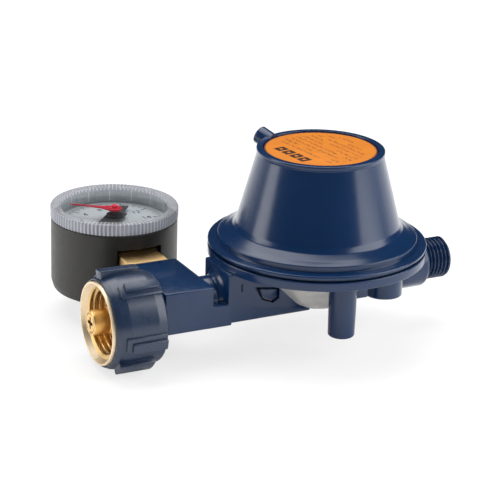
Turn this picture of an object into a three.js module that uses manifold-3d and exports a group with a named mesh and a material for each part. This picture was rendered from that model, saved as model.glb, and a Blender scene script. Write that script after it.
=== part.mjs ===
// Low-pressure gas regulator with a turn-on union nut, a conical bonnet and a 40 mm pressure gauge.
// Millimetres. +Z is up along the regulator's vertical axis, +X runs towards the outlet thread and
// +Y away from the front. The inlet is at -X, and the gauge lies behind it with its face up.
// Dimensions are taken from the point where the vertical axis meets the height of the inlet
// nipple's axis; the finished group is shifted at the end.
import * as THREE from 'three';
import { mergeVertices } from 'three/addons/utils/BufferGeometryUtils.js';
import Module from 'manifold-3d';

const wasm = await Module();
wasm.setup();

// ---------------------------------------------------------------- driving dimensions
const FACETS = 40; // of the large turned shapes
const ORIGIN = [0, 0];

// lower body and bonnet
const FLANGE_R = 34.1; // rims of both
const FLANGE_Z = 11.28; // underside of the lower rim
const JOINT_Z = 14.15; // top of the lower rim
const RIM_TOP = 16.1; // top of the bonnet's rim
const BOWL_Z = -3.5; // underside of the bowl
const SKIRT_R = 31.0; // step on top of the bonnet's rim
const SKIRT_Z = 18.07;
const CONE_FOOT_R = 25.75;
const CONE_TOP_R = 19.6;
const BONNET_TOP = 45.5;
const RECESS_R = 17.5; // round recess in the bonnet's top, which holds the label
const RECESS_Z = 44.3;
const LABEL_R = 17.1;

// inlet arm and block: [from, to] along each axis
const FRONT_Y = -9.4; // front face of both
const ARM = { x: [-56.0, -39.9], y: [FRONT_Y, 18.0], z: [-4.4, 8.95] };
const BLOCK = { x: [-35.0, -6.6], y: [FRONT_Y, 7.5], z: [-3.72, 12.2] };
const INLET_Z = -0.3; // axis of the nipple
const GAS_Z = 2.0; // height of the inlet passage and the nozzle
const PASSAGE_R = 2.2;

const OUTLET_Z = 3.43;
const OUTLET_END = 46.5;
const OUTLET_R = 6.58; // G 1/4 major radius
const OUTLET_ROOT_R = 5.85;
const OUTLET_PITCH = 1.337;
const OUTLET_THREAD_X = 39.1; // start of the thread
const OUTLET_BORE_R = 4.3;

// union nut: the mouth faces -X
const NUT_MOUTH_X = -74.35;
const NUT_BACK_X = -56.9;
const NUT_Z = -0.9; // the loose nut hangs a little below the nipple's axis
const NUT_BORE_R = 12.1; // cavity of the shell
const NUT_COUNTERBORE_R = 13.05; // wider cavity at the mouth
const NUT_STEP_X = -72.6; // where the cavity narrows
const NUT_FLOOR_X = -60.2; // end of the cavity
const NUT_THREAD_R = 10.9; // W 21.8 major radius
const NUT_CREST_R = 9.9;
const NUT_PITCH = 1.814;
const NOSE_TIP = -76.3;
const NOSE_R = 3.75;

// gauge
const GAUGE_X = -49.35;
const GAUGE_Y = 44.5;
const GAUGE_AXIS = [GAUGE_X, GAUGE_Y];
const CASE_R = 20.2;
const CASE_BOTTOM = -8.95;
const CASE_TOP = 15.5;
const LENS_R = 20.4;
const LENS_BOTTOM = 15.8;
const LENS_TOP = 19.45;
const WINDOW_Z = 18.55; // underside of the clear window
const STEM_X = -49.0; // side port and stem of the gauge
const STEM_Z = 2.4;
const STEM_HALF = 6.55; // half the width of the square stem

// gauge movement
const SECTOR_PIVOT = [GAUGE_X, GAUGE_Y + 10.8];
const TAIL_PIN = polar(SECTOR_PIVOT, 3.6, 180); // where the link meets the sector's tail
const MOVEMENT_SCREW = [GAUGE_X - 2.6, 30.6];
const GEAR_MODULE = 0.3;
const PINION_TEETH = 8;
const SECTOR_TEETH = 64;
const SECTOR_BOTTOM = 6.7;
const SECTOR_TOP = 7.6;
const ZERO_DEG = -132; // where the pointer rests
const MARKER_DEG = 141;

// lever
const LEVER_X = 12.0; // lever pivot
const LEVER_Z = 8.6;
const LEVER_PIN_R = 1.0;
const LEVER_HOLE_R = 1.3;

// ---------------------------------------------------------------- solids
// closed manifold from a geometry, turned the right way out
function toManifold(source) {
  const bare = source.clone();
  bare.deleteAttribute('normal');
  bare.deleteAttribute('uv');
  const welded = mergeVertices(bare, 1e-4);
  const positions = welded.attributes.position.array;
  const index = welded.index.array;
  const triangles = [];
  const [a, b, c] = [new THREE.Vector3(), new THREE.Vector3(), new THREE.Vector3()];
  let volume = 0;
  for (let i = 0; i < index.length; i += 3) {
    const [p, q, r] = index.subarray ? index.subarray(i, i + 3) : index.slice(i, i + 3);
    // triangles that collapse on the axis of a turned shape are dropped
    if (p === q || q === r || p === r) continue;
    triangles.push(p, q, r);
    a.fromArray(positions, 3 * p);
    b.fromArray(positions, 3 * q);
    c.fromArray(positions, 3 * r);
    volume += a.dot(b.cross(c));
  }
  if (volume < 0) {
    for (let i = 0; i < triangles.length; i += 3) {
      [triangles[i + 1], triangles[i + 2]] = [triangles[i + 2], triangles[i + 1]];
    }
  }
  return new wasm.Manifold(
    new wasm.Mesh({
      numProp: 3,
      vertProperties: new Float32Array(positions),
      triVerts: new Uint32Array(triangles),
    })
  );
}

function asSolid(shape) {
  return shape instanceof THREE.BufferGeometry ? toManifold(shape) : shape;
}
function union(...shapes) {
  return shapes.map(asSolid).reduce((sum, solid) => sum.add(solid));
}
function cut(shape, ...tools) {
  return tools.reduce((rest, tool) => rest.subtract(asSolid(tool)), asSolid(shape));
}

function toGeometry(solid) {
  const mesh = solid.getMesh();
  const geometry = new THREE.BufferGeometry();
  const positions = new Float32Array(mesh.vertProperties);
  geometry.setAttribute('position', new THREE.BufferAttribute(positions, 3));
  geometry.setIndex(Array.from(mesh.triVerts));
  geometry.computeVertexNormals();
  return geometry;
}

// turned about Y; an outline that starts off the axis is closed
function turned(outline, facets) {
  const points = vectors(outline);
  if (outline[0][0] !== 0) points.push(points[0].clone());
  return new THREE.LatheGeometry(points, facets);
}
// turned about Z from [radius, z]
function lathe(outline, facets = FACETS) {
  return turned(outline, facets).rotateX(Math.PI / 2);
}
// turned about X from [radius, x]
function latheX(outline, facets = FACETS) {
  return turned(outline, facets).rotateZ(-Math.PI / 2);
}
function rod(radius, from, to, facets = 24) {
  return lathe([[0, from], [radius, from], [radius, to], [0, to]], facets);
}
function rodAt([x, y], radius, from, to, facets) {
  return rod(radius, from, to, facets).translate(x, y, 0);
}
function rodX(radius, from, to, facets = 24) {
  return latheX([[0, from], [radius, from], [radius, to], [0, to]], facets);
}
function rodY(radius, from, to, facets = 24) {
  return rod(radius, from, to, facets).rotateX(-Math.PI / 2);
}
// box from [from, to] along each axis
function box(...spans) {
  const sizes = spans.map(([from, to]) => to - from);
  const middles = spans.map(([from, to]) => (from + to) / 2);
  return new THREE.BoxGeometry(...sizes).translate(...middles);
}
// prism along Z from a closed list of [x, y]
function prism(outline, from, to) {
  const shape = new THREE.Shape(vectors(outline));
  const options = { depth: to - from, bevelEnabled: false };
  return new THREE.ExtrudeGeometry(shape, options).translate(0, 0, from);
}
// prism along X from a closed list of [y, z]
function prismX(outline, from, to) {
  const axes = new THREE.Matrix4().set(0, 0, 1, 0, 1, 0, 0, 0, 0, 1, 0, 0, 0, 0, 0, 1);
  return prism(outline, from, to).applyMatrix4(axes);
}
// prism along Y from a closed list of [x, z]
function prismY(outline, from, to) {
  const axes = new THREE.Matrix4().set(1, 0, 0, 0, 0, 0, 1, 0, 0, 1, 0, 0, 0, 0, 0, 1);
  return prism(outline, from, to).applyMatrix4(axes);
}

// compression spring about Z, its end turns nearly closed
function coil({ radius, wire, bottom, top, turns, stepsPerTurn, sides }) {
  const closed = 0.75; // turns at each end
  const closedRise = wire * 1.7;
  const openRise = top - bottom - 2 * wire - 2 * closedRise;
  class Helix extends THREE.Curve {
    getPoint(fraction, target = new THREE.Vector3()) {
      const turn = fraction * turns;
      const angle = turn * 2 * Math.PI;
      const lead = Math.min(Math.max((turn - closed) / (turns - 2 * closed), 0), 1);
      const ends = (Math.min(turn, closed) + Math.max(turn - (turns - closed), 0)) / closed;
      const z = bottom + wire + closedRise * ends + openRise * lead;
      return target.set(radius * Math.cos(angle), radius * Math.sin(angle), z);
    }
  }
  const section = [];
  for (let i = 0; i < sides; i++) section.push(polar(ORIGIN, wire, ((i + 0.5) * 360) / sides));
  return new THREE.ExtrudeGeometry(new THREE.Shape(vectors(section)), {
    steps: Math.round(turns * stepsPerTurn),
    extrudePath: new Helix(),
    bevelEnabled: false,
  });
}

// ---------------------------------------------------------------- points
function vectors(points) {
  return points.map(([x, y]) => new THREE.Vector2(x, y));
}
function radians(degrees) {
  return (degrees * Math.PI) / 180;
}
function polar([x, y], radius, degrees) {
  const angle = radians(degrees);
  return [x + radius * Math.cos(angle), y + radius * Math.sin(angle)];
}
// point at a distance along a unit direction and another across it
function offset([x, y], [dirX, dirY], along, across) {
  return [x + along * dirX - across * dirY, y + along * dirY + across * dirX];
}
// half an outline, completed by its reflection in the X axis
function mirrored(half) {
  return [...half, ...half.map(([x, y]) => [x, -y]).reverse()];
}
// rectangle with rounded corners, each of the given number of steps
function rounded([left, right], [low, high], radius, steps) {
  const corners = [
    [right - radius, low + radius, -90], [right - radius, high - radius, 0],
    [left + radius, high - radius, 90], [left + radius, low + radius, 180],
  ];
  return corners.flatMap(([x, y, start]) => {
    const arc = [];
    for (let i = 0; i <= steps; i++) arc.push(polar([x, y], radius, start + (90 * i) / steps));
    return arc;
  });
}

// ---------------------------------------------------------------- materials
const standard = (options) => new THREE.MeshStandardMaterial(options);
const MATERIALS = {
  cast: standard({ color: 0x1f3a63, roughness: 0.42, metalness: 0.2 }),
  plasticBlue: standard({ color: 0x2a3e66, roughness: 0.5, metalness: 0 }),
  brass: standard({ color: 0xc99a45, roughness: 0.3, metalness: 1 }),
  steel: standard({ color: 0xb4b8bc, roughness: 0.35, metalness: 1 }),
  alu: standard({ color: 0xc8cacc, roughness: 0.45, metalness: 1 }),
  rubber: standard({ color: 0x1c1c1e, roughness: 0.85, metalness: 0 }),
  label: standard({ color: 0xf59a32, roughness: 0.5, metalness: 0 }),
  case: standard({ color: 0x35332f, roughness: 0.6, metalness: 0 }),
  lens: standard({ color: 0xe6ecee, roughness: 0.1, metalness: 0 }),
  dial: standard({ color: 0xe9e9e7, roughness: 0.7, metalness: 0 }),
  black: standard({ color: 0x141414, roughness: 0.5, metalness: 0 }),
  red: standard({ color: 0xd5122f, roughness: 0.4, metalness: 0 }),
};

// ---------------------------------------------------------------- regulator body
// inner wall of the chamber from the middle out: [radius, z]
const CHAMBER_WALL = [
  [0, -0.9], [10.9, -0.9], [12.2, -0.2], [17.2, 5.0], [23.6, 12.2], [25.4, 13.0],
];
const CHAMBER = [...CHAMBER_WALL, [25.4, 20], [0, 20]];
// bowl and its rim: [radius, z]
const DISH = [
  [0, BOWL_Z], [10.8, BOWL_Z], [12.3, -2.9], [14.0, -1.5], [19.0, 4.3], [23.8, 9.8],
  [25.2, 10.9], [26.6, FLANGE_Z], [33.7, FLANGE_Z], [FLANGE_R, 11.65], [FLANGE_R, 13.8],
  [33.8, JOINT_Z], [32.9, JOINT_Z], [32.9, 13.0], ...[...CHAMBER_WALL].reverse(),
];
// all three: [x, z]
const FRONT_RECESS = [[-26.2, 6.9], [-17.6, 5.6], [-17.6, 2.2], [-19.8, 0.9], [-23.6, 2.4]];
const FRONT_PAD = [[-22.6, 5.3], [-18.3, 4.8], [-18.1, 3.0], [-20.1, 1.9], [-22.3, 3.0]];
const LEVER_EAR = [[10.4, -1.6], [12.0, -1.2], [13.6, 1.2], [13.6, 10.4], [10.4, 10.4]];

function outletPipe() {
  const outline = [
    [0, 15], [8.3, 15], [8.3, 35.3], [8.0, 36.5], [7.2, 37.2], [OUTLET_ROOT_R, 37.5],
    [OUTLET_ROOT_R, OUTLET_THREAD_X],
  ];
  for (let i = 0; i < 5; i++) {
    const x = OUTLET_THREAD_X + i * OUTLET_PITCH;
    outline.push([OUTLET_R, x + 0.42], [OUTLET_R, x + 0.72]);
    outline.push([OUTLET_ROOT_R, x + OUTLET_PITCH - 0.18]);
  }
  outline.push([OUTLET_ROOT_R, OUTLET_END], [0, OUTLET_END]);
  return latheX(outline, 26).translate(0, 0, OUTLET_Z);
}

function bodyOutside() {
  const longFoot = [[0, -8.45], [3.6, -8.45], [4.1, -7.95], [4.4, 11.5], [0, 11.5]];
  const shortFoot = [[0, -0.25], [5.6, -0.25], [5.95, 0.1], [5.95, 8], [0, 8]];
  const neck = rounded([FRONT_Y, BLOCK.y[1]], [ARM.z[0], 2.6], 0.5, 2);
  return union(
    lathe(DISH),
    prismX(rounded(BLOCK.y, BLOCK.z, 0.7, 2), ...BLOCK.x),
    prismX(rounded(ARM.y, ARM.z, 0.8, 2), ...ARM.x),
    prismX(neck, ARM.x[1] - 1, -33.7),
    // round boss that takes the nipple
    rodX(6.8, ARM.x[0], -45.5, 28).translate(0, 0, INLET_Z),
    // round bar between the arm and the block
    rodX(6.5, ARM.x[1] - 0.5, BLOCK.x[0] + 0.5).translate(0, -0.2, STEM_Z),
    outletPipe(),
    lathe(longFoot, 20).translate(-1.73, -20.5, 0),
    lathe(shortFoot, 20).translate(17.0, -13.1, 0),
    box([1.5, 8.5], [-18.4, -12.5], [1.6, 6])
  );
}

function lowerBody() {
  const hollowed = cut(
    bodyOutside(),
    lathe(CHAMBER),
    // the gas's way in: socket of the nipple, passage, gauge port
    rodX(4.7, ARM.x[0] - 1, -47.5, 20).translate(0, 0, INLET_Z),
    rodX(PASSAGE_R, -48, -10, 12).translate(0, 0, GAS_Z),
    rodY(5.1, 6.5, ARM.y[1] + 1, 20).translate(STEM_X, 0, STEM_Z),
    rodY(1.8, 0, 7, 12).translate(STEM_X, 0, STEM_Z),
    rodX(OUTLET_BORE_R, 8, OUTLET_END + 1, 20).translate(0, 0, OUTLET_Z),
    // recess and slot in the front face of the inlet block
    prismY(FRONT_RECESS, FRONT_Y - 1, FRONT_Y + 2.4),
    box([-30.75, -30.3], [FRONT_Y - 1, FRONT_Y + 0.5], [6.2, 8.6])
  );
  const nozzleBoss = cut(
    rodX(4.6, -15.5, -5.0, 20).translate(0, 0, GAS_Z),
    rodX(PASSAGE_R, -20, -10, 12).translate(0, 0, GAS_Z)
  );
  const fitted = union(
    hollowed,
    nozzleBoss,
    box([-14.5, -5.0], [-3.2, 3.2], [-1.4, 0.4]), // foot of the nozzle boss
    box([5.0, 7.6], [-3.0, 3.0], [-1.4, 4.6]), // guide lug of the valve slider
    prismY(LEVER_EAR, 4.2, 5.8),
    prismY(LEVER_EAR, -5.8, -4.2),
    prismY(FRONT_PAD, FRONT_Y + 0.7, FRONT_Y + 3)
  );
  // seat of the nozzle, guide hole of the slider, hole of the lever pin
  return cut(
    fitted,
    rodX(3.3, -11.5, -4.0, 20).translate(0, 0, GAS_Z),
    rodX(1.9, 4, 9, 12).translate(0, 0, GAS_Z),
    rodY(LEVER_HOLE_R, -7, 7, 12).translate(LEVER_X, 0, LEVER_Z)
  );
}

// ---------------------------------------------------------------- bonnet
// outside from the rim up, then back down the inside: [radius, z]
const BONNET = [
  [28.3, 14.1], [32.6, 14.1], [32.6, 14.5], [33.3, 14.55], [33.3, 15.0], [34.0, 15.1],
  [FLANGE_R, 15.3], [33.95, 15.8], [33.6, RIM_TOP], [SKIRT_R, RIM_TOP], [SKIRT_R, 17.9],
  [30.8, SKIRT_Z], [30.2, 18.3], [28.9, 18.95], [27.4, 19.85], [26.5, 20.4], [25.95, 21.1],
  [CONE_FOOT_R - 0.25, 22.0], [CONE_TOP_R, 44.0], [19.9, 44.3], [19.9, 45.0], [19.6, 45.4],
  [19.2, BONNET_TOP], [RECESS_R, BONNET_TOP], [RECESS_R, RECESS_Z], [13.0, RECESS_Z],
  [13.0, 36.0], [15.0, 36.0], [15.0, 41.5], [17.4, 41.5], [23.2, 20.6], [28.3, 18.0],
];
const SPOUT = [[0, 0], [2.9, 0], [2.9, 6.1], [2.75, 6.5], [2.3, 6.7], [0, 6.7]]; // [radius, x]

// the breather spout stands out near the bonnet's top and tilts upwards
function bonnet() {
  const place = new THREE.Matrix4()
    .makeRotationZ(radians(117))
    .multiply(new THREE.Matrix4().makeTranslation(17.2, 0, 42.85))
    .multiply(new THREE.Matrix4().makeRotationY(radians(-20)));
  const spout = latheX(SPOUT, 20).applyMatrix4(place);
  const hole = rodX(1.4, -3.2, 8, 12).applyMatrix4(place);
  return cut(union(lathe(BONNET), spout), hole, rod(RECESS_R, RECESS_Z, 50, FACETS));
}
function ratingLabel() {
  return rod(LABEL_R, 44.6, 45.08, FACETS);
}

// ---------------------------------------------------------------- union nut and inlet
// grip lugs: from and to in degrees about the nut's axis, from +Z towards -Y,
// then x of the mouth end, x of the back end, and radius
const LUGS = [
  [-16, -0.5, -72.8, -60.5, 16.3],
  [25, 42.5, -70.3, -57.2, 15.2], [24.5, 36, -68.6, -58.0, 16.2],
  [90, 108, -70.6, -57.6, 15.3], [96, 108, -68.9, -57.7, 16.2],
  [127, 148, -71.8, -60.4, 16.1],
  [205, 221, -70.3, -57.2, 15.2], [204.5, 216, -68.6, -58.0, 16.2],
  [243, 261, -72.8, -60.5, 16.3],
  [304, 322, -70.6, -57.6, 15.3], [310, 322, -68.9, -57.7, 16.2],
];
function lug([start, end, mouthX, backX, radius]) {
  const footR = 13.2;
  const at = (distance, degrees) => polar(ORIGIN, distance, degrees + 90);
  const outline = [at(footR, start), at(radius - 0.6, start)];
  for (let i = 0; i <= 3; i++) {
    outline.push(at(radius, start + 2 + ((end - start - 4) * i) / 3));
  }
  outline.push(at(radius - 0.6, end), at(footR, end));
  return prismX(outline, mouthX, backX);
}

function nutShell() {
  const shell = latheX([
    [NUT_BORE_R, NUT_STEP_X], [NUT_COUNTERBORE_R, NUT_STEP_X], [NUT_COUNTERBORE_R, -73.4],
    [13.35, -73.4], [14.1, -71.8], [14.55, -69.0], [14.5, -60.0], [14.15, -57.6],
    [13.75, NUT_BACK_X], [7.0, NUT_BACK_X], [7.0, NUT_FLOOR_X], [NUT_BORE_R, NUT_FLOOR_X],
  ], 44);
  const cavity = latheX([
    [0, -80], [NUT_COUNTERBORE_R, -80], [NUT_COUNTERBORE_R, NUT_STEP_X],
    [NUT_BORE_R, NUT_STEP_X], [NUT_BORE_R, NUT_FLOOR_X], [0, NUT_FLOOR_X],
  ], 44);
  return cut(union(shell, ...LUGS.map(lug)), cavity).translate([0, 0, NUT_Z]);
}

// threaded insert with a wide countersink at the mouth
function nutInsert() {
  const outline = [
    [11.8, -60.5], [11.8, -72.9], [12.75, -72.9], [12.75, NUT_MOUTH_X + 0.1],
    [12.7, NUT_MOUTH_X], [12.15, NUT_MOUTH_X], [11.05, NUT_MOUTH_X + 1.6],
    [NUT_CREST_R, NUT_MOUTH_X + 2.5],
  ];
  for (let i = 0; i < 4; i++) {
    const x = NUT_MOUTH_X + 2.6 + i * NUT_PITCH;
    outline.push([NUT_THREAD_R, x + 0.85], [NUT_CREST_R, x + NUT_PITCH - 0.1]);
  }
  outline.push([NUT_CREST_R, -63.2], [6.2, -63.2], [6.2, -60.5]);
  // reversed to run the same way round as the other outlines
  return latheX(outline.reverse(), 30).translate(0, 0, NUT_Z);
}

function nipple() {
  const outside = latheX([
    [0, NOSE_TIP], [2.7, NOSE_TIP], [2.8, -76.0], [3.05, -76.0], [3.15, NOSE_TIP],
    [3.45, NOSE_TIP], [NOSE_R, -75.9], [NOSE_R, -71.2], [5.0, -69.6], [5.6, -67.2],
    [8.5, -66.4], [8.7, -66.0], [8.7, -63.9], [8.5, -63.5], [5.0, -63.5], [5.0, -56.3],
    [4.4, -56.3], [4.4, -47.8], [0, -47.8],
  ], 24);
  const slotX = [-80, -73.9]; // crossed slots in the nose
  const slotLength = [-1.9, 1.9];
  const slotWidth = [-0.5, 0.5];
  return cut(
    outside,
    box(slotX, slotLength, slotWidth),
    box(slotX, slotWidth, slotLength),
    rodX(1.5, -74.4, -50, 16),
    rodX(3.2, -53.0, -40, 20)
  ).translate([0, 0, INLET_Z]);
}
function inletStrainer() {
  return latheX([
    [0, -52.4], [2.6, -52.4], [2.9, -52.1], [2.9, -48.4], [2.4, -48.4], [2.2, -51.6], [0, -51.8],
  ], 20).translate(0, 0, INLET_Z);
}

// ---------------------------------------------------------------- gauge
// cup with a notch for the stem
function gaugeCase() {
  const cup = lathe([
    [0, CASE_BOTTOM], [16.4, CASE_BOTTOM], [18.1, -8.5], [19.4, -7.5], [20.0, -6.1],
    [CASE_R, -4.7], [CASE_R, CASE_TOP], [18.3, CASE_TOP], [18.2, -6.2], [17.0, -7.2], [0, -7.2],
  ]).translate(...GAUGE_AXIS, 0);
  const notchHalf = STEM_HALF + 1.05;
  const notch = box(
    [STEM_X - notchHalf, STEM_X + notchHalf],
    [GAUGE_Y - 25, GAUGE_Y - 10],
    [STEM_Z - STEM_HALF - 0.6, 10.9]
  );
  return cut(cup, notch);
}

function gaugeStem() {
  const square = rounded(
    [STEM_X - STEM_HALF, STEM_X + STEM_HALF], [STEM_Z - STEM_HALF, STEM_Z + STEM_HALF], 0.5, 1
  );
  const tail = rodY(4.8, 7.2, 19).translate(STEM_X, 0, STEM_Z);
  const socket = box([GAUGE_X - 4.5, GAUGE_X + 4.5], [28.5, 33.6], [-2.2, 5.1]);
  return cut(
    union(prismY(square, 18.3, 29.0), tail, socket),
    rodY(1.4, 5, 31, 14).translate(STEM_X, 0, STEM_Z),
    // slot that takes the foot of the curved tube
    box([GAUGE_X - 0.4, GAUGE_X + 6], [30.5, 34], [-0.7, 6]),
    rodAt(MOVEMENT_SCREW, 1.0, 1.5, 6, 12)
  );
}

// flattened tube bent round the gauge axis, opening out slightly towards its free end
function bourdonTube() {
  const halfWidth = 0.6;
  const inner = [];
  const outer = [];
  for (let i = 0; i <= 30; i++) {
    const degrees = -88 + i * 10;
    const radius = 13.0 + 0.02 * i;
    inner.unshift(polar(GAUGE_AXIS, radius - halfWidth, degrees));
    outer.push(polar(GAUGE_AXIS, radius + halfWidth, degrees));
  }
  return prism([...outer, ...inner], -0.2, 4.6);
}

// one tooth: [height from the pitch circle, distance to the side]
const TOOTH = [[-0.5, -0.27], [0, -0.19], [0.27, -0.08], [0.27, 0.08], [0, 0.19], [-0.5, 0.27]];
function tooth(centre, radius, degrees) {
  const direction = polar(ORIGIN, 1, degrees);
  return TOOTH.map(([height, side]) => offset(centre, direction, radius + height, side));
}

function sectorGear() {
  const at = (radius, degrees) => polar(SECTOR_PIVOT, radius, degrees);
  const pitchR = (GEAR_MODULE * SECTOR_TEETH) / 2;
  const step = 360 / SECTOR_TEETH;
  const start = -90 - 7.6 * step;
  const end = -90 + 1.6 * step;
  const web = [];
  for (let i = 0; i <= 12; i++) web.push(at(pitchR - 0.38, start + ((end - start) * i) / 12));
  web.push(
    at(3.0, end + 25), at(2.0, 40), at(2.0, 95), at(2.0, 130),
    at(4.6, 168), at(4.6, 192), at(2.4, 205), at(3.0, start - 25)
  );
  const parts = [prism(web, SECTOR_BOTTOM, SECTOR_TOP)];
  for (let i = -7; i <= 1; i++) {
    const outline = tooth(SECTOR_PIVOT, pitchR, -90 + i * step);
    parts.push(prism(outline, SECTOR_BOTTOM, SECTOR_TOP));
  }
  return cut(
    union(...parts, rodAt(SECTOR_PIVOT, 1.6, 6.6, 8.6, 14)),
    rodAt(SECTOR_PIVOT, 0.95, 5, 10, 12),
    rodAt(TAIL_PIN, 0.5, 5, 10, 8)
  );
}

function pinionShaft() {
  const pitchR = (GEAR_MODULE * PINION_TEETH) / 2;
  const step = 360 / PINION_TEETH;
  const parts = [rodAt(GAUGE_AXIS, 0.78, 5.6, 15.9, 12)];
  for (let i = 0; i < PINION_TEETH; i++) {
    parts.push(prism(tooth(GAUGE_AXIS, pitchR, 90 + (i + 0.5) * step), 6.5, 7.8));
  }
  return union(...parts);
}

// link from the free end of the curved tube to the sector's tail
function tipLink() {
  const tip = polar(GAUGE_AXIS, 13.6, 212);
  const [runX, runY] = [tip[0] - TAIL_PIN[0], tip[1] - TAIL_PIN[1]];
  const length = Math.hypot(runX, runY);
  const overhang = 0.9;
  const corners = [
    [-overhang, -0.5], [length + overhang, -0.5], [length + overhang, 0.5], [-overhang, 0.5],
  ];
  const direction = [runX / length, runY / length];
  const outline = corners.map(([along, across]) => offset(TAIL_PIN, direction, along, across));
  return union(prism(outline, 8.05, 8.55), rodAt(tip, 0.55, 4.9, 8.3, 12));
}

// two plates joined by pillars, with the sector's pivot and a screw down into the stem
function movementFrame() {
  const plate = rounded([GAUGE_X - 4.4, GAUGE_X + 4.4], [29.2, 60.2], 1.0, 1);
  const pillar = (centre, radius) => rodAt(centre, radius, 5.8, 9.6, 10);
  const frame = union(
    prism(plate, 5.35, 6.2),
    prism(plate, 9.2, 10.1),
    pillar([GAUGE_X + 3, 33.2], 1.1),
    pillar([GAUGE_X - 3, 33.2], 1.1),
    pillar([GAUGE_X, 58.9], 0.9),
    pillar(SECTOR_PIVOT, 0.6),
    rodAt(MOVEMENT_SCREW, 0.7, 2.2, 5.8, 10)
  );
  return cut(frame, rodAt(GAUGE_AXIS, 1.1, 4, 12, 12));
}

function gaugeDial() {
  return cut(rod(17.0, 13.4, 14.0, 36), rod(1.5, 10, 16, 12)).translate([...GAUGE_AXIS, 0]);
}

// ribbed ring and clear window in one piece
function gaugeLens() {
  const ribs = 44;
  const ribbed = [];
  for (let i = 0; i < 2 * ribs; i++) {
    ribbed.push(polar(GAUGE_AXIS, i % 2 ? LENS_R : LENS_R - 0.3, (i * 180) / ribs));
  }
  const cap = [
    [0, LENS_TOP - 0.7], [LENS_R - 0.1, LENS_TOP - 0.7], [LENS_R - 0.1, LENS_TOP - 0.3],
    [LENS_R - 0.4, LENS_TOP], [0, LENS_TOP],
  ];
  return cut(
    union(
      prism(ribbed, LENS_BOTTOM, LENS_TOP - 0.45),
      lathe(cap, 44).translate(...GAUGE_AXIS, 0),
      rodAt(GAUGE_AXIS, 17.9, 14.8, 17, 36)
    ),
    rodAt(GAUGE_AXIS, 17.2, 10, WINDOW_Z, 36),
    rodAt(GAUGE_AXIS, 17.5, LENS_TOP - 0.25, 25, 36),
    rodAt(GAUGE_AXIS, 1.2, 10, 25, 12)
  );
}

// both hands are drawn along +X and turned to where they stand
function redMarker() {
  const hand = mirrored([[-1.8, -1.6], [1.0, -1.7], [4.5, -0.75], [14.6, -0.2]]);
  return union(prism(hand, 17.75, 18.15), rod(2.45, 17.6, 18.25, 20), rod(0.9, 18.1, 19.1, 12))
    .rotate([0, 0, MARKER_DEG])
    .translate([...GAUGE_AXIS, 0]);
}
function gaugePointer() {
  const hand = mirrored([[-11.0, -1.2], [-4.8, -1.3], [-3.6, -3.0], [9.5, -3.0], [15.2, -0.3]]);
  const solid = union(prism(hand, 15.0, 15.4), rod(2.6, 14.9, 16.2, 20));
  return cut(solid.rotate([0, 0, ZERO_DEG]), rod(1.08, 10, 20, 12)).translate([...GAUGE_AXIS, 0]);
}

// ---------------------------------------------------------------- pressure works
function adjustingScrew() {
  const hexagon = [0, 60, 120, 180, 240, 300].map((degrees) => polar(ORIGIN, 4.62, degrees));
  const disc = lathe([
    [0, 39.6], [10.9, 39.6], [10.9, 38.2], [12.4, 38.2], [12.7, 38.5], [12.7, 43.6],
    [12.3, 44.0], [0, 44.0],
  ], 30);
  return cut(disc, prism(hexagon, 41.2, 46));
}
function mainSpring() {
  return coil({
    radius: 9.3, wire: 0.95, bottom: 17.1, top: 39.2, turns: 5.5, stepsPerTurn: 10, sides: 5,
  });
}
function diaphragm() {
  return lathe([
    [3.1, 13.25], [19.5, 13.25], [21.6, 11.9], [24.0, 13.25], [32.2, 13.25], [32.2, 13.85],
    [24.0, 14.2], [21.7, 13.0], [19.3, 14.35], [3.1, 14.35],
  ], 36);
}
function diaphragmPlate() {
  return lathe([
    [3.1, 14.65], [19.0, 14.65], [19.0, 16.2], [18.2, 16.2], [18.2, 15.75], [11.0, 15.75],
    [11.0, 16.8], [7.9, 16.8], [7.9, 18.2], [6.9, 18.2], [6.9, 16.0], [3.1, 16.0],
  ], 32);
}
function reliefStem() {
  return lathe([
    [0, 7.0], [2.4, 7.0], [2.7, 7.2], [2.7, 7.6], [1.6, 7.6], [1.6, 11.0], [6.2, 11.3],
    [6.4, 12.8], [5.6, 12.9], [5.6, 12.5], [4.0, 12.5], [2.0, 12.9], [2.0, 27.4],
    [1.6, 27.9], [0, 27.9],
  ], 20);
}
function reliefSpring() {
  return coil({
    radius: 4.4, wire: 0.5, bottom: 16.3, top: 24.4, turns: 4.5, stepsPerTurn: 9, sides: 4,
  });
}
function reliefRetainer() {
  return lathe([
    [2.3, 24.7], [5.8, 24.7], [6.1, 25.0], [6.1, 26.2], [5.8, 26.5], [2.3, 26.5],
  ], 24);
}

// forked arm towards the regulator's axis, with a shin down into the slider's slot
function lever() {
  const arm = mirrored([[13.2, 3.6], [2.0, 3.0], [-2.6, 3.8], [-2.6, 2.15], [2.2, 2.15]]);
  const shin = [[11.0, 8.9], [13.0, 8.9], [12.6, 2.2], [12.3, 1.45], [11.7, 1.45], [11.4, 2.2]];
  const hub = rodY(2.1, -3.6, 3.6, 18).translate(LEVER_X, 0, LEVER_Z);
  return cut(
    union(prism(arm, 8.1, 9.1), prismY(shin, -0.9, 0.9), hub),
    rodY(LEVER_HOLE_R, -8, 8, 16).translate(LEVER_X, 0, LEVER_Z)
  );
}
function leverPin() {
  return rodY(LEVER_PIN_R, -6.0, 6.0, 16).translate(LEVER_X, 0, LEVER_Z);
}
function valveSlider() {
  const body = latheX([
    [0, -2.7], [1.2, -2.7], [1.2, -2.1], [2.8, -2.1], [2.8, 0.2], [2.4, 0.5], [1.5, 0.9],
    [1.5, 13.0], [0, 13.0],
  ], 20).translate(0, 0, GAS_Z);
  return cut(body, box([11.0, 12.95], [-3, 3], [GAS_Z - 0.9, GAS_Z + 3]));
}
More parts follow.
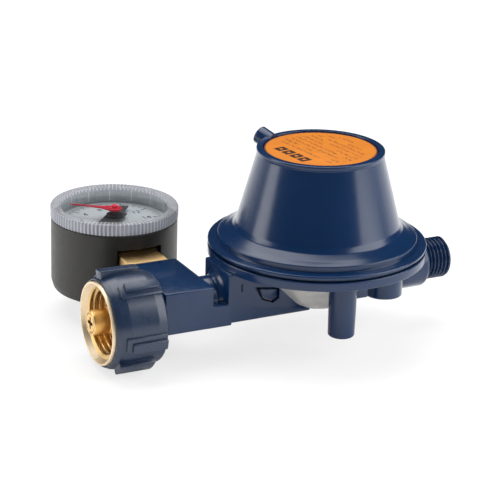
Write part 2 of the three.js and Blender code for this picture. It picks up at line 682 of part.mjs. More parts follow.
function valvePad() {
  return latheX([[1.45, -3.3], [2.6, -3.3], [2.6, -2.4], [1.45, -2.4]], 20)
    .translate(0, 0, GAS_Z);
}
function nozzle() {
  return latheX([
    [0.9, -4.3], [1.5, -4.3], [1.8, -5.0], [3.0, -5.3], [3.0, -11.2], [1.4, -11.2], [0.9, -9.0],
  ], 24).translate(0, 0, GAS_Z);
}

// ---------------------------------------------------------------- assembly
// mesh name, builder, material
const PIECES = [
  ['lower_body', lowerBody, 'cast'],
  ['bonnet', bonnet, 'cast'],
  ['rating_label', ratingLabel, 'label'],
  ['adjusting_screw', adjustingScrew, 'alu'],
  ['main_spring', mainSpring, 'steel'],
  ['diaphragm', diaphragm, 'rubber'],
  ['diaphragm_plate', diaphragmPlate, 'alu'],
  ['relief_stem', reliefStem, 'brass'],
  ['relief_spring', reliefSpring, 'steel'],
  ['relief_retainer', reliefRetainer, 'brass'],
  ['lever', lever, 'steel'],
  ['lever_pin', leverPin, 'steel'],
  ['valve_slider', valveSlider, 'brass'],
  ['valve_pad', valvePad, 'rubber'],
  ['nozzle', nozzle, 'brass'],
  ['inlet_nipple', nipple, 'brass'],
  ['inlet_strainer', inletStrainer, 'steel'],
  ['union_nut_shell', nutShell, 'plasticBlue'],
  ['union_nut_insert', nutInsert, 'brass'],
  ['gauge_stem', gaugeStem, 'brass'],
  ['gauge_case', gaugeCase, 'case'],
  ['bourdon_tube', bourdonTube, 'brass'],
  ['tip_link', tipLink, 'brass'],
  ['movement_frame', movementFrame, 'brass'],
  ['sector_gear', sectorGear, 'brass'],
  ['pinion_shaft', pinionShaft, 'steel'],
  ['gauge_dial', gaugeDial, 'dial'],
  ['gauge_pointer', gaugePointer, 'black'],
  ['gauge_lens', gaugeLens, 'lens'],
  ['red_marker', redMarker, 'red'],
];

const group = new THREE.Group();
group.name = 'gas_regulator';
for (const [name, build, material] of PIECES) {
  const mesh = new THREE.Mesh(toGeometry(asSolid(build())), MATERIALS[material]);
  mesh.name = name;
  group.add(mesh);
}

// the origin becomes the middle of the footprint, level with the lowest point
const { min, max } = new THREE.Box3().setFromObject(group);
const shift = [-(min.x + max.x) / 2, -(min.y + max.y) / 2, -min.z];
for (const mesh of group.children) mesh.geometry.translate(...shift);

export default group;
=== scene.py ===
"""Looks of a low-pressure gas regulator with union nut and pressure gauge.

Modelled in millimetres: the regulator's axis is x = y = 0 and points up +Z. The inlet with its
union nut points to -X, the threaded outlet to +X. The gauge stands off to +Y beside the inlet
and faces +Z. SHIFT and a scale of 0.001 take the parts to the frame's place and metres.
"""
import math

import bmesh
import bpy
from mathutils import Matrix, Vector


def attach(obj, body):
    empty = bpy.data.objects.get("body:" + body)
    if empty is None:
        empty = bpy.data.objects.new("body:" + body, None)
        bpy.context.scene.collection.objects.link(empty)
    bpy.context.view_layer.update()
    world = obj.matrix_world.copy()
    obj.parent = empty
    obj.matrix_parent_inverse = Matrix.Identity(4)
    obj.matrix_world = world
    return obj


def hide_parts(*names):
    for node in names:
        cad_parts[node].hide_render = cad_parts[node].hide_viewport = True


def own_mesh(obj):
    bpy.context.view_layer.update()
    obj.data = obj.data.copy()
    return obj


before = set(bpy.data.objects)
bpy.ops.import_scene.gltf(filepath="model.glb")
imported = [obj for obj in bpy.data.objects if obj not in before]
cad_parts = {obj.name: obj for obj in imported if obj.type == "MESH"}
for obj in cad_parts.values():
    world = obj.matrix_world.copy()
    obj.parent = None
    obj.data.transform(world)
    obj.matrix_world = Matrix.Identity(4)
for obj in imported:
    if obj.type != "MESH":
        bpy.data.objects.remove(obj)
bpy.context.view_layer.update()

# ------------------------------------------------------------------ driving dimensions, mm
SHIFT = Vector((14.9, -15.374, 15.45))
GAUGE_X, GAUGE_Y = -49.35, 44.5  # axis of the gauge
STEM_X, STEM_Z = -49.0, 2.4      # axis of the gauge stem, along Y
NUT_Z = -0.9                     # heights of the axes along X
INLET_Z = -0.3
OUTLET_Z = 3.43
BODY_SIDE = -9.4                 # y of the flat -Y side of the inlet blocks
FLANGE_R = 34.1                  # rim where the two castings meet
COLLAR_R, COLLAR_Z = 17.75, 44.3  # recess in the top of the bonnet
DIAL_Z = 14.0                    # printed face of the dial
INK_Z = DIAL_Z + 0.02
ZERO_DEG = -132.0                # dial zero, counter-clockwise from +X
SCALE_SWEEP = 270.0              # degrees, clockwise from zero
KNURLS = 100                     # fine ribs round the dial cover
WALL_RIBS = 15                   # grooves in the skirt of the dial cover

# how an outline drawn in its own x, y, z is laid: local z becomes the named axis
UPRIGHT = Matrix.Identity(4)
ALONG_X = Matrix(((0, 0, 1, 0), (1, 0, 0, 0), (0, 1, 0, 0), (0, 0, 0, 1)))  # x, y become y, z
ALONG_Y = Matrix(((0, 1, 0, 0), (0, 0, 1, 0), (1, 0, 0, 0), (0, 0, 0, 1)))  # x, y become z, x
ALONG_Y_XZ = Matrix(((1, 0, 0, 0), (0, 0, 1, 0), (0, 1, 0, 0), (0, 0, 0, 1)))  # x, y become x, z


def row_xy(x, y):
    """Place in metres in the row's frame of a point in working millimetres."""
    return (x + SHIFT.x) / 1000, (y + SHIFT.y) / 1000


# ------------------------------------------------------------------ mesh helpers
def new_object(name, build):
    bmesh.ops.remove_doubles(build, verts=build.verts, dist=1e-5)
    bmesh.ops.recalc_face_normals(build, faces=build.faces)
    if build.calc_volume(signed=True) < 0:
        bmesh.ops.reverse_faces(build, faces=build.faces)
    mesh = bpy.data.meshes.new(name)
    build.to_mesh(mesh)
    build.free()
    part = bpy.data.objects.new(name, mesh)
    bpy.context.scene.collection.objects.link(part)
    return part


def rounded(outline, steps=5):
    """Round the corners of an outline; entries are (radius, height) or with a fillet third."""
    points = []
    for i, entry in enumerate(outline):
        if len(entry) == 2:
            points.append(entry)
            continue
        corner = Vector(entry[:2])
        back = Vector(outline[i - 1][:2]) - corner
        ahead = Vector(outline[(i + 1) % len(outline)][:2]) - corner
        back_dir, ahead_dir = back.normalized(), ahead.normalized()
        angle = back_dir.angle(ahead_dir)
        if angle > math.radians(177):
            points.append(entry[:2])
            continue
        # a fillet takes up less than half of either side
        reach = entry[2] / math.tan(angle / 2)
        reach = min(reach, 0.49 * back.length, 0.49 * ahead.length)
        fillet = reach * math.tan(angle / 2)
        centre = corner + (back_dir + ahead_dir).normalized() * (fillet / math.sin(angle / 2))
        start = corner + back_dir * reach - centre
        end = corner + ahead_dir * reach - centre
        sweep = start.angle(end)
        if start.x * end.y - start.y * end.x <= 0:
            sweep = -sweep
        for k in range(steps + 1):
            turn = sweep * k / steps
            points.append((
                centre.x + start.x * math.cos(turn) - start.y * math.sin(turn),
                centre.y + start.x * math.sin(turn) + start.y * math.cos(turn),
            ))
    return points


def turned(name, profile, seg=160, lay=UPRIGHT, at=(0, 0, 0), radius_at=None):
    """Turned solid from (radius, height) points.

    Radius 0 makes a pole; a profile without poles closes on itself.
    radius_at(angle, radius, height) may vary the radius round the ring.
    """
    build = bmesh.new()
    rings = []
    for radius, height in profile:
        if radius <= 1e-9:
            rings.append([build.verts.new((0, 0, height))])
            continue
        ring = []
        for i in range(seg):
            angle = 2 * math.pi * i / seg
            reach = radius_at(angle, radius, height) if radius_at else radius
            ring.append(build.verts.new((reach * math.cos(angle), reach * math.sin(angle), height)))
        rings.append(ring)
    pairs = list(zip(rings, rings[1:]))
    if len(rings[0]) > 1:
        pairs.append((rings[-1], rings[0]))
    for first, second in pairs:
        for i in range(seg):
            j = (i + 1) % seg
            if len(first) == 1:
                build.faces.new((first[0], second[i], second[j]))
            elif len(second) == 1:
                build.faces.new((first[i], second[0], first[j]))
            else:
                build.faces.new((first[i], second[i], second[j], first[j]))
    build.transform(lay)
    build.transform(Matrix.Translation(at))
    return new_object(name, build)


def rod(name, radius, start, end, seg, lay=UPRIGHT, at=(0, 0, 0)):
    return turned(name, [(0, start), (radius, start), (radius, end), (0, end)], seg, lay, at)


def slab(name, x, y, z, bevel=0.0, seg=3, edges=None):
    """Box between pairs of limits; edges(start, end) picks the edges to bevel."""
    build = bmesh.new()
    bmesh.ops.create_cube(build, size=1.0)
    limits = (x, y, z)
    centre = Matrix.Translation([(low + high) / 2 for low, high in limits])
    build.transform(centre @ Matrix.Diagonal([high - low for low, high in limits] + [1]))
    if bevel > 0:
        chosen = [e for e in build.edges if edges is None or edges(e.verts[0].co, e.verts[1].co)]
        bmesh.ops.bevel(build, geom=chosen, offset=bevel, segments=seg, profile=0.5,
                        affect="EDGES", clamp_overlap=True)
    return new_object(name, build)


def plate(name, outline, z, bevel=0.0, seg=2, lay=UPRIGHT):
    """Prism of an (x, y) outline between two heights."""
    build = bmesh.new()
    low, high = [[build.verts.new((x, y, level)) for x, y in outline] for level in z]
    build.faces.new(low[::-1])
    build.faces.new(high)
    for i in range(len(outline)):
        j = (i + 1) % len(outline)
        build.faces.new((low[i], low[j], high[j], high[i]))
    bmesh.ops.recalc_face_normals(build, faces=build.faces)
    if bevel > 0:
        chosen = [e for e in build.edges
                  if len(e.link_faces) == 2 and e.calc_face_angle(0) > math.radians(25)]
        bmesh.ops.bevel(build, geom=chosen, offset=bevel, segments=seg, profile=0.5,
                        affect="EDGES", clamp_overlap=True)
    build.transform(lay)
    return new_object(name, build)


def boolean(part, operation, *tools):
    """Apply each tool to the part in turn and remove the tool."""
    for tool in tools:
        modifier = part.modifiers.new("cut", "BOOLEAN")
        modifier.operation = operation
        modifier.solver = "EXACT"
        modifier.object = tool
        depsgraph = bpy.context.evaluated_depsgraph_get()
        mesh = bpy.data.meshes.new_from_object(part.evaluated_get(depsgraph))
        part.modifiers.clear()
        old = part.data
        part.data = mesh
        bpy.data.meshes.remove(old)
        bpy.data.objects.remove(tool)
    return part


def transform(part, matrix):
    part.data.transform(matrix)
    return part


def at_gauge(part, degrees=0.0):
    move = Matrix.Translation((GAUGE_X, GAUGE_Y, 0))
    return transform(part, move @ Matrix.Rotation(math.radians(degrees), 4, "Z"))


def assign_slots(part, slot_at):
    """Give every face the material slot that slot_at(centre) names."""
    for face in part.data.polygons:
        face.material_index = int(slot_at(face.center))


def smooth(part):
    """Smooth shading, sharp where faces meet at more than 28 degrees."""
    build = bmesh.new()
    build.from_mesh(part.data)
    bmesh.ops.dissolve_degenerate(build, edges=build.edges, dist=1e-5)
    limit = math.radians(28)
    for face in build.faces:
        face.smooth = True
    for edge in build.edges:
        edge.smooth = not (len(edge.link_faces) == 2 and edge.calc_face_angle(0) > limit)
    build.to_mesh(part.data)
    build.free()


def settle(part, body, node, finishes):
    """Shade the part, take it to metres in the row's frame, dress it and tie it to its body."""
    smooth(part)
    mesh = part.data
    mesh.transform(Matrix.Scale(0.001, 4) @ Matrix.Translation(SHIFT))
    # clearing the materials resets the faces' slots, so they are kept and put back
    slots = [face.material_index for face in mesh.polygons]
    mesh.materials.clear()
    for finish in finishes:
        mesh.materials.append(M[finish])
    last = len(finishes) - 1
    mesh.polygons.foreach_set("material_index", [min(index, last) for index in slots])
    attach(part, body)
    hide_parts(node)


# ------------------------------------------------------------------ shader helpers
class Graph:
    """Short ways to add nodes to one node tree; values may be numbers, tuples or sockets."""

    def __init__(self, tree):
        self.tree = tree

    def fill(self, node, values):
        for key, value in values.items():
            socket = node.inputs[key]
            if isinstance(value, bpy.types.NodeSocket):
                self.tree.links.new(value, socket)
            elif socket.type == "RGBA":
                socket.default_value = (*value, 1.0)
            else:
                socket.default_value = value

    def add(self, kind, values={}, **settings):
        node = self.tree.nodes.new("ShaderNode" + kind)
        for key, value in settings.items():
            setattr(node, key, value)
        self.fill(node, values)
        return node

    def object_coord(self):
        return self.add("TexCoord").outputs["Object"]

    def noise(self, coord, scale, detail=4.0):
        values = {"Vector": coord, "Scale": scale, "Detail": detail, "Roughness": 0.55}
        return self.add("TexNoise", values).outputs["Fac"]

    def remap(self, value, source, target=(0.0, 1.0)):
        return self.add("MapRange", {
            "Value": value, "From Min": source[0], "From Max": source[1],
            "To Min": target[0], "To Max": target[1],
        }).outputs["Result"]

    def mix(self, amount, first, second):
        return self.add("Mix", {0: amount, 6: first, 7: second}, data_type="RGBA").outputs[2]

    def mix_shader(self, amount, first, second):
        return self.add("MixShader", {0: amount, 1: first, 2: second}).outputs[0]

    def math(self, operation, *values):
        return self.add("Math", dict(enumerate(values)), operation=operation).outputs[0]

    def radius(self, x, y):
        squares = [self.math("MULTIPLY", side, side) for side in (x, y)]
        return self.math("SQRT", self.math("ADD", *squares))

    def minus(self, vector, point):
        return self.add("VectorMath", {0: vector, 1: point}, operation="SUBTRACT").outputs[0]

    def separate(self, vector):
        return self.add("SeparateXYZ", {0: vector}).outputs

    def combine(self, x, y):
        return self.add("CombineXYZ", {0: x, 1: y}).outputs[0]

    def bump(self, height, depth_mm, **normal):
        values = {"Height": height, "Distance": depth_mm * 0.001, **normal}
        return self.add("Bump", values).outputs["Normal"]


def new_material(name):
    material = bpy.data.materials.new(name)
    material.use_nodes = True
    tree = material.node_tree
    return material, Graph(tree), tree.nodes["Principled BSDF"]


def shade(colour, factor):
    return tuple(min(1.0, c * factor) for c in colour)


# ------------------------------------------------------------------ materials
def surface(name, colour, rough, vary, grain, relief, metallic=0.0, rough_vary=0.08,
            edge=None, edge_amount=0.35, bevel=0.0, spec=0.5, streak=None, dirt=0.0):
    """Procedural opaque finish.

    vary and rough_vary spread colour and gloss, grain is the noise scale of the relief, relief
    and bevel are in mm, edge colours worn edges, streak stretches a second relief noise,
    dirt darkens patches.
    """
    material, graph, bsdf = new_material(name)
    coord = graph.object_coord()
    broad = graph.noise(coord, scale=60.0, detail=3.0)
    patches = graph.noise(coord, scale=420.0, detail=5.0)
    blend = graph.remap(broad, source=(0.3, 0.7))
    tone = graph.mix(blend, shade(colour, 1 - vary), shade(colour, 1 + vary))
    if dirt > 0:
        amount = graph.remap(patches, source=(0.55, 0.8), target=(0.0, dirt))
        tone = graph.mix(amount, tone, shade(colour, 0.45))
    if edge:
        pointed = graph.add("NewGeometry").outputs["Pointiness"]
        wear = graph.remap(pointed, source=(0.52, 0.60))
        uneven = graph.remap(patches, source=(0.4, 0.6), target=(0.2, 1.0))
        wear = graph.math("MULTIPLY", wear, uneven)
        tone = graph.mix(graph.math("MULTIPLY", wear, edge_amount), tone, edge)
    gloss_range = (rough - rough_vary, rough + rough_vary)
    gloss = graph.remap(patches, source=(0.3, 0.7), target=gloss_range)
    height = graph.noise(coord, scale=grain, detail=2.0)
    if streak:
        stretched = graph.add("Mapping", {"Vector": coord, "Scale": streak}).outputs["Vector"]
        lines = graph.noise(stretched, scale=1.0)
        height = graph.math("ADD", height, lines)
    normal = {}
    if bevel > 0:
        softened = graph.add("Bevel", {"Radius": bevel * 0.001}, samples=4)
        normal["Normal"] = softened.outputs["Normal"]
    graph.fill(bsdf, {
        "Base Color": tone, "Roughness": gloss, "Metallic": metallic,
        "Specular IOR Level": spec, "Coat Roughness": 0.25,
        "Normal": graph.bump(height, relief, **normal),
    })
    return material


def body_enamel_with_painted_reflection():
    """Enamel of the lower body, with a painted reflection of the bright floor: pale, partly metallic
    colour on the downward faces under the bowl.
    """
    material = M["cast"].copy()
    material.name = "blue_enamel_body_floor_reflection"
    graph = Graph(material.node_tree)
    bsdf = material.node_tree.nodes["Principled BSDF"]
    geometry = graph.add("NewGeometry")
    normal = graph.separate(geometry.outputs["True Normal"])
    place = graph.separate(graph.minus(geometry.outputs["Position"], tuple(SHIFT / 1000)))
    radius = graph.radius(place["X"], place["Y"])
    # painted reflection of the floor, in metres from here on: faces facing down, near the axis and
    # above the lowest part
    down = graph.remap(normal["Z"], source=(-0.25, -0.55))
    near = graph.remap(radius, source=(0.0275, 0.0235))
    high = graph.remap(place["Z"], source=(-0.0045, -0.0038))
    patches = graph.noise(graph.object_coord(), scale=170.0, detail=3.0)
    patchy = graph.remap(patches, source=(0.25, 0.6), target=(0.6, 1.0))
    mask = graph.math("MULTIPLY", graph.math("MULTIPLY", down, near),
                      graph.math("MULTIPLY", high, patchy))
    enamel = bsdf.inputs["Base Color"].links[0].from_socket
    # the pale grey mixed in under the bowl is a painted reflection of the floor
    graph.fill(bsdf, {
        "Base Color": graph.mix(mask, enamel, (0.64, 0.62, 0.59)),
        "Metallic": graph.math("MULTIPLY", mask, 0.45),
    })
    return material


def label_foil():
    """Orange foil with rows of small dark marks, set at an angle, and a painted shade ring at its
    edge where the gap of the recess shades the foil.
    """
    row_pitch, word_pitch, block_pitch = 2.3, 3.4, 4.0  # mm
    marks_r, gap_shade_r = 14.2, 16.95  # outer radius of the marks, inner radius of the painted shade ring
    material, graph, bsdf = new_material("label_foil")
    calc = graph.math
    coord = graph.object_coord()
    mapped = graph.add("Mapping", {"Vector": coord}, vector_type="POINT").outputs["Vector"]
    centred = graph.minus(mapped, (*row_xy(0, 0), 0))
    turn = {"Vector": centred, "Angle": math.radians(82.6)}
    place = graph.separate(graph.add("VectorRotate", turn, rotation_type="Z_AXIS").outputs[0])
    # along and across the rows, mm
    along = calc("MULTIPLY", place["X"], 1000.0)
    across = calc("MULTIPLY", place["Y"], 1000.0)
    row = calc("DIVIDE", across, row_pitch)
    row_number = calc("FLOOR", row)
    off_centre = calc("ABSOLUTE", calc("SUBTRACT", calc("FRACT", row), 0.5))
    in_row = calc("LESS_THAN", off_centre, 0.24)
    # broken strokes within words, some words left out
    stretched = graph.combine(calc("MULTIPLY", along, 1.5), calc("MULTIPLY", across, 1.3))
    stroke = calc("GREATER_THAN", graph.noise(stretched, scale=1.15, detail=1.0), 0.52)
    word_cell = graph.combine(calc("FLOOR", calc("DIVIDE", along, word_pitch)), row_number)
    chance = graph.add("TexWhiteNoise", {"Vector": word_cell}, noise_dimensions="2D")
    word = calc("GREATER_THAN", chance.outputs["Value"], 0.30)
    radius = graph.radius(along, across)
    inside = calc("LESS_THAN", radius, marks_r)
    mark = calc("MULTIPLY", calc("MULTIPLY", in_row, stroke), calc("MULTIPLY", word, inside))
    mark = calc("MULTIPLY", mark, calc("GREATER_THAN", across, -7.2))
    # larger hollow blocks, four in a row
    cell = calc("FRACT", calc("DIVIDE", calc("ADD", along, 16.0), block_pitch))
    cell_x = calc("ABSOLUTE", calc("SUBTRACT", cell, 0.5))
    cell_y = calc("ABSOLUTE", calc("ADD", across, 10.6))

    def box(half_width, half_height):  # half width in parts of a cell, half height in mm
        return calc("MULTIPLY", calc("LESS_THAN", cell_x, half_width),
                    calc("LESS_THAN", cell_y, half_height))

    block = box(half_width=0.40, half_height=1.9)
    hole = box(half_width=0.13, half_height=0.55)
    blocks = calc("MULTIPLY", calc("SUBTRACT", block, hole),
                  calc("LESS_THAN", calc("ABSOLUTE", along), 8.0))
    # painted shade of the gap between the label and its recess, not print
    gap_shade_ring = calc("GREATER_THAN", radius, gap_shade_r)

    mottle = graph.remap(graph.noise(coord, scale=150, detail=3), source=(0.3, 0.7))
    tone = graph.mix(mottle, (0.53, 0.160, 0.009), (0.59, 0.182, 0.012))
    # printed marks and blocks, then the painted shade ring at the edge
    for mask, strength, ink in (
        (mark, 0.80, (0.16, 0.05, 0.012)),
        (blocks, 0.97, (0.030, 0.012, 0.008)),
        (gap_shade_ring, 0.85, (0.07, 0.03, 0.03)),
    ):
        tone = graph.mix(calc("MULTIPLY", mask, strength), tone, ink)
    sheen = graph.noise(coord, scale=700, detail=4)
    height = calc("ADD", graph.noise(coord, scale=1800, detail=3), mark)
    graph.fill(bsdf, {
        "Base Color": tone,
        "Roughness": graph.remap(sheen, source=(0.3, 0.7), target=(0.42, 0.56)),
        "Specular IOR Level": 0.2,
        "Normal": graph.bump(height, depth_mm=0.01),
    })
    return material


def milky_part(graph, coord, colour, ribs, crest):
    """Diffuse and translucent part, with painted highlights: lighter on the crests round the gauge's
    axis.

    crest is the range of the ribs' cosine over which the painted highlight turns the tone light.
    """
    mottle = graph.noise(coord, scale=300, detail=4)
    tone = graph.mix(mottle, shade(colour, 0.85), colour)
    place = graph.separate(graph.minus(coord, (*row_xy(GAUGE_X, GAUGE_Y), 0)))
    angle = graph.math("ARCTAN2", place["Y"], place["X"])
    highlight_wave = graph.math("COSINE", graph.math("MULTIPLY", angle, float(ribs)))
    # painted highlights along the crests of the ribs
    tone = graph.mix(graph.remap(highlight_wave, source=crest), tone, shade(colour, 2.1))
    diffuse = graph.add("BsdfDiffuse", {"Color": tone}).outputs[0]
    translucent = graph.add("BsdfTranslucent", {"Color": colour}).outputs[0]
    return graph.mix_shader(0.45, diffuse, translucent)


def clear_plastic(name, tint=(0.96, 0.975, 0.98), rough=0.03, milk_amount=0.0, **milk):
    """Thin clear plastic: passes what stands behind it, mirrors by angle, with scuffs.

    milk holds the colour, ribs and crest of a milky part, whose crests carry painted highlights.
    """
    material, graph, bsdf = new_material(name)
    graph.tree.nodes.remove(bsdf)
    coord = graph.object_coord()
    mottle = graph.remap(graph.noise(coord, scale=90, detail=3), source=(0.3, 0.7))
    through = graph.mix(mottle, shade(tint, 0.985), tint)
    base = graph.add("BsdfTransparent", {"Color": through}).outputs[0]
    scuffs = graph.noise(coord, scale=500, detail=4)
    waves = graph.noise(coord, scale=900, detail=2)
    gloss = graph.add("BsdfGlossy", {
        "Color": (1, 1, 1),
        "Roughness": graph.remap(scuffs, source=(0.35, 0.75), target=(rough, rough + 0.07)),
        "Normal": graph.bump(waves, depth_mm=0.004),
    }).outputs[0]
    # mirror by angle, the same from inside and outside
    facing = graph.add("LayerWeight").outputs["Facing"]
    mirror = graph.math("MULTIPLY_ADD", graph.math("POWER", facing, 5.0), 0.7, 0.035)
    if milk:
        base = graph.mix_shader(milk_amount, base, milky_part(graph, coord, **milk))
    shader = graph.mix_shader(mirror, base, gloss)
    graph.fill(graph.tree.nodes["Material Output"], {"Surface": shader})
    return material


LATHE_MARKS = (9000.0, 60.0, 60.0)  # noise stretch that leaves fine rings along X
MILLING_MARKS = (5000.0, 80.0, 80.0)
# ranges of the painted highlights on the crests of the knurls and of the skirt's ribs
FINE_CREST_HIGHLIGHT, SPARSE_CREST_HIGHLIGHT = (0.2, 0.9), (0.97, 0.995)

M = {
    "cast": surface(
        "blue_enamel", colour=(0.0032, 0.021, 0.072), rough=0.22, vary=0.05, rough_vary=0.02,
        grain=1500, relief=0.003, edge=(0.02, 0.06, 0.14), edge_amount=0.15, bevel=0.35,
        spec=0.46, dirt=0.04),
    "nut": surface(
        "blue_plastic", colour=(0.012, 0.026, 0.060), rough=0.29, vary=0.06, rough_vary=0.03,
        grain=2200, relief=0.005, edge=(0.04, 0.07, 0.13), edge_amount=0.25, bevel=0.22,
        spec=0.55),
    # paler copy of the brass: painted reflection on the face of the ring
    "brass_ring": surface(
        "brass_painted_reflection", colour=(0.80, 0.66, 0.47), rough=0.50, metallic=1.0, vary=0.05,
        rough_vary=0.05, grain=3000, relief=0.004, bevel=0.12, dirt=0.08, streak=LATHE_MARKS),
    "brass": surface(
        "brass_turned", colour=(0.74, 0.50, 0.21), rough=0.34, metallic=1.0, vary=0.06,
        rough_vary=0.04, grain=3000, relief=0.004, bevel=0.12, dirt=0.10, streak=LATHE_MARKS),
    "brass_milled": surface(
        "brass_milled", colour=(0.80, 0.56, 0.27), rough=0.50, metallic=1.0, vary=0.12,
        grain=2500, relief=0.012, bevel=0.15, dirt=0.2, streak=MILLING_MARKS),
    "steel": surface(
        "steel_plain", colour=(0.55, 0.56, 0.58), rough=0.30, metallic=1.0, vary=0.08,
        grain=2500, relief=0.01, dirt=0.2),
    "alu": surface(
        "aluminium_plain", colour=(0.70, 0.71, 0.73), rough=0.38, metallic=1.0, vary=0.06,
        grain=2500, relief=0.012, dirt=0.15),
    "rubber": surface(
        "rubber_black", colour=(0.015, 0.015, 0.016), rough=0.75, vary=0.2, grain=1800,
        relief=0.03, spec=0.35),
    "case": surface(
        "case_plastic", colour=(0.019, 0.018, 0.0145), rough=0.46, vary=0.06, rough_vary=0.04,
        grain=2800, relief=0.012, edge=(0.10, 0.095, 0.085), edge_amount=0.2, bevel=0.2,
        spec=0.45),
    "white": surface(
        "dial_white", colour=(0.54, 0.55, 0.57), rough=0.55, vary=0.02, grain=3000, relief=0.006),
    "ink": surface(
        "dial_ink", colour=(0.02, 0.02, 0.022), rough=0.55, vary=0.2, grain=3000, relief=0.004),
    "pointer": surface(
        "pointer_grey", colour=(0.035, 0.038, 0.040), rough=0.5, vary=0.1, grain=3000,
        relief=0.01, edge=(0.15, 0.15, 0.15)),
    "red": surface(
        "red_plastic", colour=(0.66, 0.008, 0.035), rough=0.32, vary=0.06, grain=3000,
        relief=0.008, bevel=0.15),
}
M["body"] = body_enamel_with_painted_reflection()
M["label"] = label_foil()
M["clear"] = clear_plastic("clear_plastic")
M["knurl"] = clear_plastic(
    "clear_plastic_knurled", tint=(0.80, 0.82, 0.83), rough=0.12, milk_amount=0.80,
    colour=(0.41, 0.415, 0.46), ribs=KNURLS, crest=FINE_CREST_HIGHLIGHT)
# pale inside of the case: painted light that lifts the shade where the dial meets the wall
M["case_inner"] = surface(
    "case_inner_painted_light", colour=(0.56, 0.59, 0.60), rough=0.5, vary=0.05, rough_vary=0.04,
    grain=2800, relief=0.006)
M["wall"] = clear_plastic(
    "clear_plastic_wall", tint=(0.9, 0.91, 0.92), rough=0.12, milk_amount=0.60,
    colour=(0.52, 0.55, 0.56), ribs=WALL_RIBS, crest=SPARSE_CREST_HIGHLIGHT)
M["lens_rim"] = clear_plastic(
    "clear_plastic_rim", tint=(0.88, 0.89, 0.91), rough=0.12, milk_amount=0.42,
    colour=(0.50, 0.505, 0.54), ribs=KNURLS, crest=FINE_CREST_HIGHLIGHT)


# ------------------------------------------------------------------ threads
def clamp(value):
    return min(max(value, 0.0), 1.0)


def zigzag(turns):
    """1 at whole turns, 0 half way between."""
    return abs(turns % 1.0 - 0.5) * 2


def left_hand_thread(crest_r, root_r, pitch, start, end):
    """Radius of a left-hand thread at (angle, x); it fades out near start and end."""
    flat, fade = 0.16, 0.7  # flat share at crest and at root; length of the fade, mm

    def radius(angle, x):
        depth = zigzag(x / pitch + angle / (2 * math.pi))
        depth = clamp((depth - flat) / (1 - 2 * flat))
        strength = clamp((x - start) / fade) * clamp((end - x) / fade)
        full = crest_r + (root_r - crest_r) * depth
        return root_r + (full - root_r) * strength

    return radius


def stations(start, length, count):
    return [start + i * (length / count) for i in range(count + 1)]


# ------------------------------------------------------------------ regulator body
def outlet_stub():
    """Outlet along +X with its outside thread."""
    blank_r, thread_start = 6.0, 38.3
    thread = left_hand_thread(crest_r=6.58, root_r=5.75, pitch=1.337, start=38.4, end=46.9)
    profile = rounded([(0, 14.0), (8.3, 14.0), (8.3, 37.3, 1.9), (blank_r, 37.9, 0.3)])
    profile += [(blank_r, x) for x in stations(thread_start, length=8.0, count=96)[1:]]
    profile += [(5.7, 46.5), (0, 46.5)]

    def radius_at(angle, radius, x):
        on_thread = abs(radius - blank_r) < 1e-6 and x > thread_start
        return thread(angle, x) if on_thread else radius

    return turned("outlet", profile, 144, ALONG_X, (0, 0, OUTLET_Z), radius_at)


